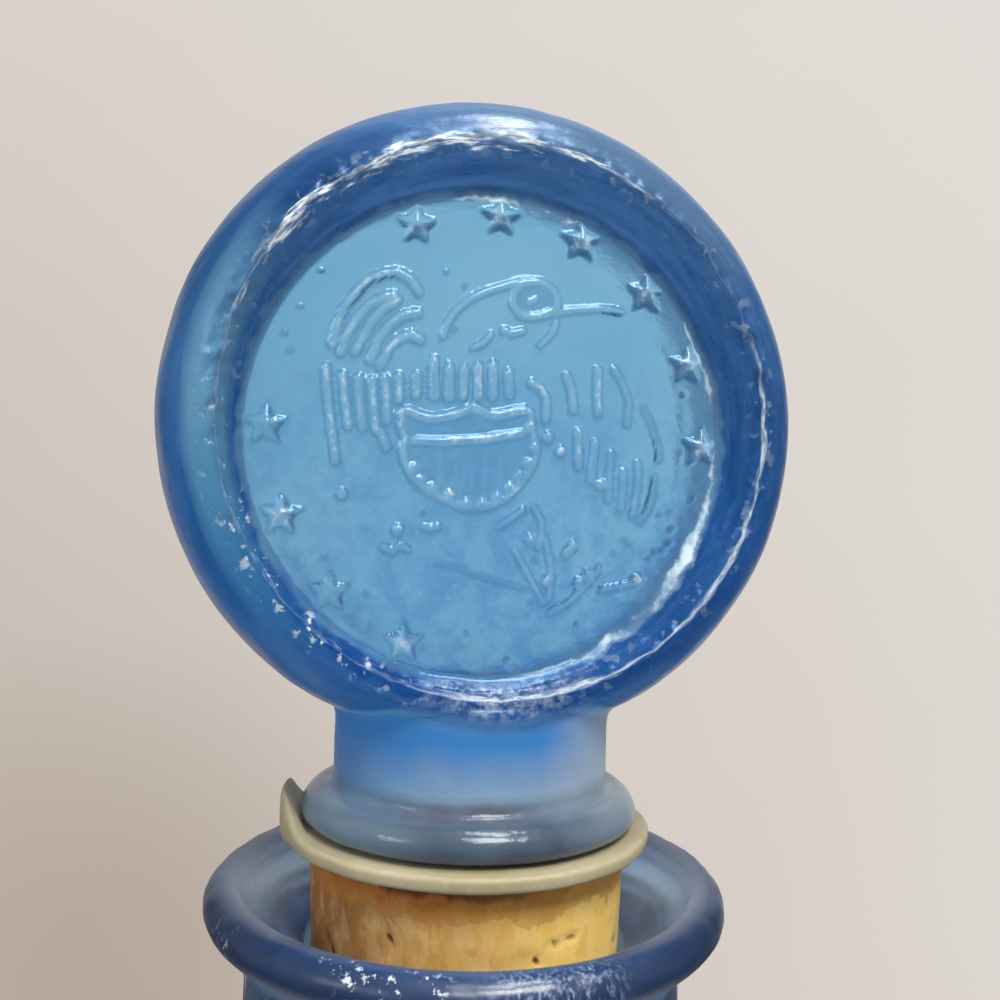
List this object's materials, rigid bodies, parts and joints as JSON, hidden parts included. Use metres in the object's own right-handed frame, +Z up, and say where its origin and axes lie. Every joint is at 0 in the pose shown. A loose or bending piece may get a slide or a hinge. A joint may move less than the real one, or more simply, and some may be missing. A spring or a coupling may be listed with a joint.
{
  "type": "whiskey decanter",
  "caption": "Round glass decanter with a dished rolled lip and a lift-out medallion stopper on a tapered cork.",
  "frame": {"origin": "centre of the base, on the surface the decanter stands on", "axes": "+Z up along the axis of the neck; the stopper's medallion faces -Y"},
  "size_m": [0.098, 0.098, 0.2663],
  "materials": {
    "bottle_glass": "smooth clear blue glass",
    "stopper_glass": "pressed blue glass with worn high spots",
    "washer_plastic": "yellowed translucent plastic",
    "cork": "natural cork, stained dark at its top"
  },
  "bodies": {
    "decanter": {"decanter_glass": "bottle_glass"},
    "washer": {"stopper_washer": "washer_plastic"},
    "stopper": {"stopper_glass": "stopper_glass", "stopper_cork": "cork"}
  },
  "joints": [
    {"name": "stopper_lift", "type": "slide", "parent": "decanter", "child": "washer", "axis": [0, 0, 1], "range_m": [0, 0.06]},
    {"name": "stopper_turn", "type": "hinge", "parent": "washer", "child": "stopper", "pos_m": [0, 0, 0.2085], "axis": [0, 0, 1], "continuous": true}
  ]
}
